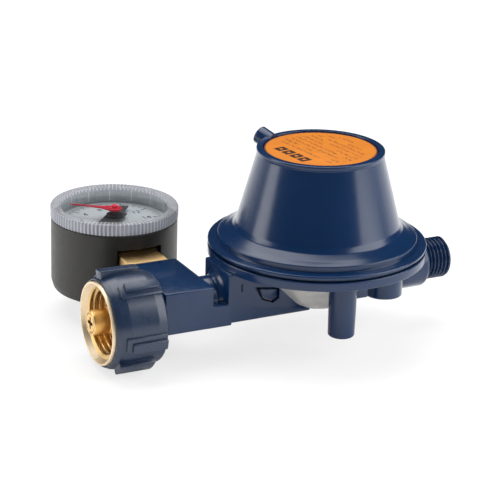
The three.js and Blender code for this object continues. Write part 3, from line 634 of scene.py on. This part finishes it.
def lower_body():
    inlet, outlet, stem = (0, 0, INLET_Z), (0, 0, OUTLET_Z), (STEM_X, 0, STEM_Z)
    # bowl with its rim; radius, height, fillet
    dish = turned("lower_body_look", rounded([
        (0, -3.5), (10.8, -3.5, 2.5), (14.2, -1.3, 9.0), (19.0, 4.3, 30.0), (24.2, 10.3, 2.5),
        (26.8, 11.28, 1.0), (FLANGE_R, 11.28, 0.45), (FLANGE_R, 14.15, 0.3), (32.9, 14.15, 0.1),
        (32.9, 13.0), (25.4, 13.0, 0.5), (23.6, 12.2, 2.0), (17.2, 5.0, 6.0), (12.2, -0.2, 2.0),
        (10.9, -0.9, 1.0), (0, -0.9),
    ]), seg=224)
    block = slab("block", x=(-35.0, -6.6), y=(BODY_SIDE, 7.5), z=(-3.72, 12.2), bevel=0.5)
    arm = slab("arm", x=(-56.0, -39.9), y=(BODY_SIDE, 18.0), z=(-4.4, 8.95), bevel=0.5)
    # bridge between arm and block, bevelled along X and at its +X end
    bridge = slab("low", x=(-42.0, -33.7), y=(BODY_SIDE, 7.5), z=(-4.4, 2.6), bevel=0.4,
                  edges=lambda a, b: abs(a.x - b.x) > 1 or (a.x > -34 and b.x > -34))
    round_end = turned("round_end", rounded([
        (0, -56.0), (6.8, -56.0, 0.3), (6.8, -45.5), (0, -45.5),
    ]), 96, ALONG_X, inlet)
    neck = turned("neck", rounded([
        (0, -41.2), (6.5, -41.2), (6.5, -37.2, 0.6), (6.1, -36.6, 0.4), (6.9, -35.6, 0.6),
        (8.6, -34.4), (0, -34.4),
    ]), 96, ALONG_X, (0, -0.2, STEM_Z))
    # two upright posts on the -Y side and a web between them
    leg = turned("leg", rounded([
        (0, -8.45), (4.1, -8.45, 0.7), (4.4, 11.5), (0, 11.5),
    ]), 96, at=(-1.73, -20.5, 0))
    boss = turned("boss", rounded([
        (0, -0.25), (5.95, -0.25, 0.35), (5.98, 8.0), (0, 8.0),
    ]), 96, at=(17.0, -13.1, 0))
    web = slab("web", x=(1.5, 8.5), y=(-18.4, -12.5), z=(1.6, 6.0), bevel=0.4)
    boolean(dish, "UNION", block, arm, bridge, round_end, neck, outlet_stub(), leg, boss, web)

    # recess (x, z) and a slit in the -Y side of the block
    recess = plate("recess", [
        (-26.2, 6.9), (-17.6, 5.6), (-17.6, 2.2), (-19.8, 0.9), (-23.6, 2.4),
    ], z=(-12.0, -7.0), lay=ALONG_Y_XZ)
    slit = slab("slot", x=(-30.75, -30.35), y=(-10.0, -8.9), z=(6.2, 8.6))
    outlet_bore = turned("bore", [
        (0, 10.0), (4.3, 10.0), (4.3, 45.8), (4.9, 46.7), (0, 46.7),
    ], 72, ALONG_X, outlet)
    inlet_bore = rod("nip", 4.7, -57, -47.5, 64, ALONG_X, inlet)
    stem_port = rod("port", 5.1, 6.5, 19.0, 64, ALONG_Y, stem)
    chamber = turned("chamber", [
        (0, -0.9), (10.9, -0.9), (12.2, -0.2), (17.2, 5.0), (23.4, 12.2), (25.0, 13.2),
        (25.0, 20), (0, 20),
    ], 224)
    boolean(dish, "DIFFERENCE", recess, slit, outlet_bore, inlet_bore, stem_port, chamber)
    pad = plate("pad", [
        (-24.2, 5.9), (-18.2, 4.9), (-18.0, 2.6), (-19.9, 1.3), (-23.2, 2.7),
    ], z=(-8.9, -6.2), bevel=0.25, lay=ALONG_Y_XZ)
    return boolean(dish, "UNION", pad)


def bonnet():
    """Upper casting with a small tilted spout near its top."""
    shell = turned("bonnet_look", rounded([
        (28.3, 14.1), (32.6, 14.1), (32.6, 14.5), (33.3, 14.5), (33.3, 15.05, 0.1),
        (FLANGE_R, 15.1, 0.2), (FLANGE_R, 16.1, 0.45), (31.0, 16.1, 0.12), (31.0, 18.05, 0.3),
        (28.8, 19.0, 6.0), (26.5, 20.45, 1.5), (25.45, 22.0, 2.0), (19.5, 44.0, 0.3),
        (19.8, 44.35, 0.2), (19.8, 45.5, 0.4), (17.8, 45.5, 0.12), (COLLAR_R, COLLAR_Z),
        (13.0, COLLAR_Z), (13.0, 36.0), (15.0, 36.0), (15.0, 41.5), (17.4, 41.5),
        (23.2, 20.6), (28.3, 18.0),
    ]), seg=224)
    # outward at 117 degrees from +X, raised by 20 degrees
    spout_place = (Matrix.Rotation(math.radians(117), 4, "Z")
                   @ Matrix.Translation((17.2, 0, 42.85))
                   @ Matrix.Rotation(math.radians(-20), 4, "Y"))
    spout = turned("spout", rounded([(0, 0), (2.9, 0), (2.9, 6.65, 0.5), (0, 6.65)]), 72, ALONG_X)
    hole = turned("hole", [
        (0, -3.2), (1.4, -3.2), (1.4, 6.2), (1.8, 7.2), (0, 7.2),
    ], 48, ALONG_X)
    transform(spout, spout_place)
    transform(hole, spout_place)
    recess = rod("recess", COLLAR_R, COLLAR_Z, 50, 224)
    boolean(shell, "UNION", spout)
    return boolean(shell, "DIFFERENCE", hole, recess)


def rating_label():
    """Foil disc in the recess of the bonnet."""
    radius, bottom, top = 17.4, 44.6, 45.08
    profile = [(0, bottom), (radius, bottom), (radius, top, 0.1), (0, top)]
    return turned("rating_label_look", rounded(profile))


# ------------------------------------------------------------------ union nut and nipple
# grip lugs: from and to in degrees about the nut's axis, from +Z towards -Y,
# then x of the -X end, x of the +X end, and radius
LUGS = [
    (-16, -0.5, -72.8, -60.5, 16.3),
    (25, 42.5, -70.3, -57.2, 15.2), (24.5, 36, -68.6, -58.0, 16.2),
    (90, 108, -70.6, -57.6, 15.3), (96, 108, -68.9, -57.7, 16.2),
    (127, 148, -71.8, -60.4, 16.1),
    (205, 221, -70.3, -57.2, 15.2), (204.5, 216, -68.6, -58.0, 16.2),
    (243, 261, -72.8, -60.5, 16.3),
    (304, 322, -70.6, -57.6, 15.3), (310, 322, -68.9, -57.7, 16.2),
]


def nut_shell():
    mouth_r, bore_r = 13.05, 12.1
    step_x, floor_x = -72.6, -60.2  # bottom of the wider mouth, bottom of the bore
    lug_root_r = 13.2
    shell = turned("union_nut_shell_look", rounded([
        (bore_r, step_x), (mouth_r, step_x), (mouth_r, -73.4), (13.4, -73.4, 0.12),
        (14.1, -71.8, 1.2), (14.55, -69.0, 3.0), (14.5, -60.0, 3.0), (14.1, -57.4, 0.8),
        (13.7, -56.9, 0.4), (7.0, -56.9), (7.0, floor_x), (bore_r, floor_x),
    ]), 176, ALONG_X)

    def around(radius, degrees):
        angle = math.radians(degrees)
        return -radius * math.sin(angle), radius * math.cos(angle)

    for start, end, x_low, x_high, radius in LUGS:
        outline = [around(lug_root_r, start)]
        outline += [around(radius, start + (end - start) * i / 8) for i in range(9)]
        outline += [around(lug_root_r, end)]
        lug = plate("lug", outline, z=(x_low, x_high), bevel=0.38, seg=3, lay=ALONG_X)
        boolean(shell, "UNION", lug)
    core = turned("core", [
        (0, -80), (mouth_r, -80), (mouth_r, step_x), (bore_r, step_x), (bore_r, floor_x),
        (0, floor_x),
    ], 176, ALONG_X)
    boolean(shell, "DIFFERENCE", core)
    return transform(shell, Matrix.Translation((0, 0, NUT_Z)))


def nut_insert():
    """Brass insert with the nut's inside thread and a pale ring at its -X end; the paler brass there
    is a painted reflection of the bright surroundings.
    """
    blank_r = 10.1
    thread = left_hand_thread(crest_r=10.9, root_r=9.75, pitch=1.814, start=-80.0, end=-62.0)
    profile = rounded([(11.8, -60.5), (6.2, -60.5), (6.2, -63.2), (9.9, -63.2)])
    profile += [(blank_r, x) for x in reversed(stations(-72.3, length=7.6, count=80))]
    profile += rounded([
        (11.0, -72.7), (12.15, -74.35, 0.12), (12.75, -74.35, 0.15), (12.75, -72.9),
        (11.8, -72.9),
    ])

    def radius_at(angle, radius, x):
        return thread(angle, x) if abs(radius - blank_r) < 1e-6 else radius

    part = turned("union_nut_insert_look", profile, 144, ALONG_X, radius_at=radius_at)
    transform(part, Matrix.Translation((0, 0, NUT_Z)))
    # the -X ring gets the paler brass, its painted reflection
    assign_slots(part, lambda centre: centre.x < -72.75)
    return part


def nipple():
    """Inlet nipple with a cross of slots and a stepped bore."""
    part = turned("inlet_nipple_look", rounded([
        (0, -76.3), (2.75, -76.3, 0.08), (2.85, -75.95), (3.05, -75.95), (3.15, -76.3, 0.08),
        (3.75, -76.3, 0.4), (3.75, -71.2, 0.5), (5.0, -69.6, 0.6), (5.6, -67.2, 0.3),
        (8.7, -66.4, 0.4), (8.7, -63.5, 0.3), (5.0, -63.5), (5.0, -56.3, 0.2), (4.4, -56.3),
        (4.4, -47.8), (0, -47.8),
    ]), 96, ALONG_X)
    slots = []
    for degrees in (0, 90):
        slot = slab("slot", x=(-80, -73.9), y=(-1.9, 1.9), z=(-0.5, 0.5), bevel=0.3, seg=2,
                    edges=lambda a, b: abs(a.x - b.x) > 1)
        slots.append(transform(slot, Matrix.Rotation(math.radians(degrees), 4, "X")))
    bore = turned("bore", [
        (0, -74.4), (1.5, -74.4), (1.5, -53.0), (3.2, -53.0), (3.2, -40), (0, -40),
    ], 48, ALONG_X)
    boolean(part, "DIFFERENCE", *slots, bore)
    return transform(part, Matrix.Translation((0, 0, INLET_Z)))


# ------------------------------------------------------------------ gauge
def gauge_case():
    """Cup with a notch for the stem; the inside of its wall is painted pale, painted light that
    lifts the shade in the gap between dial and wall.
    """
    cup = turned("gauge_case_look", rounded([
        (0, -8.95), (17.0, -8.95, 1.5), (19.5, -7.6, 1.5), (20.2, -5.0, 2.3), (20.2, 15.5, 0.2),
        (18.3, 15.5, 0.2), (18.2, -6.3, 1.2), (17.0, -7.2), (0, -7.2),
    ], steps=8), 224)
    at_gauge(cup)
    notch = slab("notch", x=(STEM_X - 7.6, STEM_X + 7.6), y=(GAUGE_Y - 25, GAUGE_Y - 10),
                 z=(-4.75, 10.9), bevel=0.3)
    boolean(cup, "DIFFERENCE", notch)

    def is_inside(centre):
        return math.hypot(centre.x - GAUGE_X, centre.y - GAUGE_Y) < 18.35 and centre.z > -6.0

    # the inside of the wall gets the pale finish, painted light over the shade of the gap
    assign_slots(cup, is_inside)
    return cup


def gauge_stem():
    half = 6.55  # half the width of the square block
    axis = (STEM_X, 0, STEM_Z)
    block = slab("gauge_stem_look", x=(STEM_X - half, STEM_X + half), y=(18.3, 29.0),
                 z=(STEM_Z - half, STEM_Z + half), bevel=0.45)
    tail = rod("tail", 4.8, 7.2, 19, 64, ALONG_Y, axis)
    socket = slab("socket", x=(GAUGE_X - 4.5, GAUGE_X + 4.5), y=(28.5, 33.6), z=(-2.2, 5.1),
                  bevel=0.3)
    boolean(block, "UNION", tail, socket)
    bore = rod("bore", 1.4, 5, 31, 32, ALONG_Y, axis)
    slot = slab("slot", x=(GAUGE_X - 0.4, GAUGE_X + 6), y=(30.5, 34), z=(-0.7, 6))
    hole = rod("hole", 1.0, 1.5, 6, 24, at=(GAUGE_X - 2.6, 30.6, 0))
    return boolean(block, "DIFFERENCE", bore, slot, hole)


def lens():
    """Clear dial cover: knurled rim, ribbed skirt and a small hole at the centre."""
    knurl_depth, groove_depth, groove_share = 0.17, 0.35, 0.07
    # radius, height, fillet; the first point only steers the fillet after it
    profile = rounded([
        (0, 19.2), (17.4, 19.2, 0.06), (17.6, 19.45, 0.1), (20.05, 19.45, 0.3),
        (20.4, 19.05, 0.25), (20.4, 15.8, 0.15), (17.9, 15.8, 0.05), (17.9, 14.8, 0.1),
        (17.2, 14.8, 0.1), (17.2, 18.55, 0.3), (1.2, 18.55), (1.2, 19.2),
    ])[1:]

    def radius_at(angle, radius, height):
        if radius > 20.1 and height < 19.1:
            return radius - knurl_depth + knurl_depth * math.cos(KNURLS * angle)
        if 17.15 < radius < 17.6 and height < 18.2:
            depth = zigzag(angle / (2 * math.pi) * WALL_RIBS + 0.35)
            return radius - groove_depth * max(0.0, 1.0 - (1.0 - depth) / groove_share)
        return radius

    def slot_at(centre):
        radius = math.hypot(centre.x, centre.y)
        if radius > 19.9:
            return 1  # knurled edge
        if radius > 17.35 and centre.z > 19.0:
            return 3  # top of the rim
        return 2 if radius > 16.6 else 0  # skirt, window

    part = turned("gauge_lens_look", profile, KNURLS * 6, radius_at=radius_at)
    assign_slots(part, slot_at)
    return at_gauge(part)


def mirrored(points):
    return points + [(x, -y) for x, y in reversed(points)]


def red_marker():
    outline = [(14.6, 0.16), (9.0, 0.42), (4.5, 0.8), (2.2, 1.9), (0.0, 2.2), (-2.0, 1.5)]
    part = plate("red_marker_look", mirrored(outline), z=(17.75, 18.1), bevel=0.08)
    hub = turned("hub", rounded([
        (0, 17.6), (2.45, 17.6, 0.15), (2.45, 18.25, 0.2), (0.9, 18.25, 0.1), (0.9, 19.1, 0.15),
        (0, 19.1),
    ]), 64)
    boolean(part, "UNION", hub)
    return at_gauge(part, degrees=141)


def pointer():
    outline = [(15.2, 0.25), (9.5, 3.0), (-3.6, 3.0), (-4.8, 1.3), (-11.0, 1.2)]
    part = plate("gauge_pointer_look", mirrored(outline), z=(15.0, 15.35), bevel=0.08)
    hub = turned("hub", rounded([(0, 14.9), (2.6, 14.9), (2.6, 16.2, 0.3), (0, 16.2)]), 64)
    boolean(part, "UNION", hub)
    boolean(part, "DIFFERENCE", rod("hole", 1.08, 10, 15.95, 32))
    return at_gauge(part, degrees=ZERO_DEG)


def scale_angle(step, steps):
    return math.radians(ZERO_DEG - SCALE_SWEEP * step / steps)


def add_text(build, text, size, x, y):
    """Inked text on the dial."""
    curve = bpy.data.curves.new("numeral", "FONT")
    curve.body = text
    curve.size = size
    curve.align_x = "CENTER"
    curve.align_y = "CENTER"
    curve.extrude = 0.02
    curve.resolution_u = 3
    holder = bpy.data.objects.new("numeral", curve)
    bpy.context.scene.collection.objects.link(holder)
    bpy.context.view_layer.update()
    depsgraph = bpy.context.evaluated_depsgraph_get()
    mesh = bpy.data.meshes.new_from_object(holder.evaluated_get(depsgraph))
    bpy.data.objects.remove(holder)
    mesh.transform(Matrix.Translation((x, y, INK_Z)))
    first_new = len(build.faces)
    build.from_mesh(mesh)
    build.faces.ensure_lookup_table()
    for face in build.faces[first_new:]:
        face.material_index = 1


def add_tick(build, inner, outer, half_width, angle):
    """Thin inked box along a radius of the dial."""
    along_x, along_y = math.cos(angle), math.sin(angle)
    corners = [
        build.verts.new((r * along_x - side * along_y, r * along_y + side * along_x, z))
        for z in (DIAL_Z, DIAL_Z + 0.03)
        for r, side in ((inner, -half_width), (outer, -half_width),
                        (outer, half_width), (inner, half_width))
    ]
    for quad in ((3, 2, 1, 0), (4, 5, 6, 7), (0, 1, 5, 4), (1, 2, 6, 5), (2, 3, 7, 6), (3, 0, 4, 7)):
        build.faces.new([corners[k] for k in quad]).material_index = 1


def dial():
    """White disc with 33 ticks, an arc along their outer ends, numerals 0 to 16 and the unit."""
    scale_r, arc_r, numeral_r = 15.6, 15.75, 10.6
    ticks, arc_steps, numeral_steps = 32, 160, 8
    bottom = 13.4
    disc = turned("gauge_dial_look", rounded([
        (1.5, bottom), (17.75, bottom), (17.75, DIAL_Z, 0.15), (1.5, DIAL_Z),
    ]))
    build = bmesh.new()
    build.from_mesh(disc.data)
    for i in range(ticks + 1):
        inner, half_width = (12.9, 0.17) if i % 4 == 0 else (14.2, 0.09)
        add_tick(build, inner, scale_r, half_width, scale_angle(i, ticks))
    for i in range(arc_steps):
        start, end = scale_angle(i, arc_steps), scale_angle(i + 1, arc_steps)
        corners = ((scale_r, start), (arc_r, start), (arc_r, end), (scale_r, end))
        build.faces.new([
            build.verts.new((r * math.cos(angle), r * math.sin(angle), INK_Z))
            for r, angle in corners
        ]).material_index = 1
    for i in range(numeral_steps + 1):
        angle = scale_angle(i, numeral_steps)
        add_text(build, str(2 * i), size=3.1,
                 x=numeral_r * math.cos(angle), y=numeral_r * math.sin(angle))
    add_text(build, "bar", size=2.9, x=0, y=-6.6)
    build.to_mesh(disc.data)
    build.free()
    return at_gauge(disc)


# ------------------------------------------------------------------ put together
# maker, body it rides, node it replaces, slot, finishes in order of the faces' slots
PARTS = [
    (lower_body, "regulator", "lower_body", "cast", ["body"]),
    (bonnet, "regulator", "bonnet", "cast", ["cast"]),
    (rating_label, "regulator", "rating_label", "label", ["label"]),
    (nut_shell, "union_nut", "union_nut_shell", "nut_plastic", ["nut"]),
    (nut_insert, "union_nut", "union_nut_insert", "brass", ["brass", "brass_ring"]),
    (nipple, "regulator", "inlet_nipple", "brass", ["brass"]),
    (gauge_case, "regulator", "gauge_case", "case", ["case", "case_inner"]),
    (gauge_stem, "regulator", "gauge_stem", "brass", ["brass_milled"]),
    (lens, "dial_cover", "gauge_lens", "lens", ["clear", "knurl", "wall", "lens_rim"]),
    (red_marker, "dial_cover", "red_marker", "red", ["red"]),
    (pointer, "gauge_hand", "gauge_pointer", "black", ["pointer"]),
    (dial, "regulator", "gauge_dial", "dial", ["white", "ink"]),
]
for make, body, node, slot, finishes in PARTS:
    settle(make(), body, node, finishes)

# pieces of the frame that keep their shape and only get a finish
KEPT = {
    "adjusting_screw": "alu", "main_spring": "steel", "diaphragm": "rubber",
    "diaphragm_plate": "alu", "relief_stem": "brass", "relief_spring": "steel",
    "relief_retainer": "brass", "lever": "steel", "lever_pin": "steel",
    "valve_slider": "brass", "valve_pad": "rubber", "nozzle": "brass",
    "inlet_strainer": "steel", "bourdon_tube": "brass_milled", "tip_link": "brass_milled",
    "movement_frame": "brass_milled", "sector_gear": "brass_milled", "pinion_shaft": "steel",
}
for node, finish in KEPT.items():
    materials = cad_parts[node].data.materials
    materials.clear()
    materials.append(M[finish])


# ------------------------------------------------------------------ floor, metres
def floor_material():
    """Pale sweep; seen directly it also glows like a light table, so shadows stay faint."""
    material, graph, bsdf = new_material("studio_floor")
    mottle = graph.noise(graph.object_coord(), scale=6.0, detail=3.0)
    graph.fill(bsdf, {
        "Base Color": graph.mix(mottle, (0.93, 0.93, 0.93), (0.96, 0.96, 0.96)),
        "Roughness": graph.remap(mottle, source=(0.3, 0.7), target=(0.75, 0.9)),
        "Specular IOR Level": 0.1,
    })
    glow = graph.add("Emission", {"Color": (1, 1, 1), "Strength": 1.0}).outputs[0]
    seen = graph.add("LightPath").outputs["Is Camera Ray"]
    shader = graph.mix_shader(graph.math("MULTIPLY", seen, 0.72), bsdf.outputs[0], glow)
    graph.fill(graph.tree.nodes["Material Output"], {"Surface": shader})
    return material


def stage():
    half, cells, drop = 4.0, 12, 0.0005
    ticks = stations(-half, 2 * half, cells)
    build = bmesh.new()
    grid = [[build.verts.new((x, y, 0)) for x in ticks] for y in ticks]
    for j in range(cells):
        for i in range(cells):
            build.faces.new((grid[j][i], grid[j][i + 1], grid[j + 1][i + 1], grid[j + 1][i]))
    mesh = bpy.data.meshes.new("studio_floor")
    build.to_mesh(mesh)
    build.free()
    floor = bpy.data.objects.new("studio_floor", mesh)
    bpy.context.scene.collection.objects.link(floor)
    floor.matrix_world = Matrix.Translation((0, 0, -drop))
    mesh.materials.append(floor_material())


stage()

# ------------------------------------------------------------------ camera
AZIMUTH, ELEVATION, ROLL = (math.radians(v) for v in (-27.559, 20.282, 1.778))
CAMERA_AT = Vector((-289.8, -510.5, 228.17))  # working mm
VIEW_RIGHT = Vector((math.cos(AZIMUTH), math.sin(AZIMUTH), 0))
VIEW_AWAY = Vector((-math.sin(AZIMUTH), math.cos(AZIMUTH), 0))


def add_camera():
    back = Vector((
        math.sin(AZIMUTH) * math.cos(ELEVATION),
        -math.cos(AZIMUTH) * math.cos(ELEVATION),
        math.sin(ELEVATION),
    ))
    level_up = back.cross(VIEW_RIGHT)
    right = math.cos(ROLL) * VIEW_RIGHT + math.sin(ROLL) * level_up
    up = -math.sin(ROLL) * VIEW_RIGHT + math.cos(ROLL) * level_up
    data = bpy.data.cameras.new("camera")
    data.sensor_width = 36.0
    data.lens = 144.2232
    data.clip_start = 0.05
    data.clip_end = 10
    camera = bpy.data.objects.new("camera", data)
    bpy.context.scene.collection.objects.link(camera)
    rotation = Matrix((right, up, back)).transposed().to_4x4()
    camera.matrix_world = Matrix.Translation((CAMERA_AT + SHIFT) / 1000) @ rotation
    bpy.context.scene.camera = camera


add_camera()


# ------------------------------------------------------------------ lights and world
def area_light(name, right, away, height, target_z, size, power):
    """Area light placed from the camera's side, metres, aimed at a point on the z axis."""
    data = bpy.data.lights.new(name, "AREA")
    data.shape = "RECTANGLE"
    data.size, data.size_y = size
    data.energy = power
    light = bpy.data.objects.new(name, data)
    bpy.context.scene.collection.objects.link(light)
    place = VIEW_RIGHT * right + VIEW_AWAY * away
    place.z = height
    aim = (Vector((0, 0, target_z)) - place).normalized()
    turn = aim.to_track_quat("-Z", "Y").to_matrix().to_4x4()
    light.matrix_world = Matrix.Translation(place) @ turn


area_light("soft_left", right=-0.78, away=-0.05, height=0.30, target_z=0.03,
           size=(0.34, 0.58), power=2.9)
area_light("soft_right", right=0.83, away=-0.13, height=0.47, target_z=0.03,
           size=(0.72, 0.90), power=8.6)
area_light("soft_top", right=-0.14, away=0.34, height=0.94, target_z=0.02,
           size=(1.0, 0.80), power=10.0)


def add_world():
    """White behind the object, dark in its mirror, moderate as fill."""
    world = bpy.data.worlds.new("studio")
    world.use_nodes = True
    graph = Graph(world.node_tree)
    rays = graph.add("LightPath").outputs
    level = graph.math("ADD", graph.math("MULTIPLY", rays["Is Camera Ray"], 1.0), 0.0)
    for ray, strength in (("Is Glossy Ray", 0.025), ("Is Diffuse Ray", 0.42)):
        level = graph.math("ADD", level, graph.math("MULTIPLY", rays[ray], strength))
    graph.fill(world.node_tree.nodes["Background"], {"Color": (1, 1, 1), "Strength": level})
    bpy.context.scene.world = world


add_world()
bpy.context.scene.view_settings.view_transform = "Standard"

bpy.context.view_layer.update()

# the two coil springs shorten as the diaphragm and its plate rise, and the clamped edge of the
# diaphragm stays between the castings; here the springs and the diaphragm only get meshes of their
# own. Node, motion, height that stays put (mm), length kept
for node, motion, fixed_z, kept in (
    ("main_spring", "diaphragm_travel", 39.2, 0.924),
    ("diaphragm", "diaphragm_travel", 13.8 - 160.0, 0.99),
    ("relief_spring", "relief_lift", 16.3, 0.87),
):
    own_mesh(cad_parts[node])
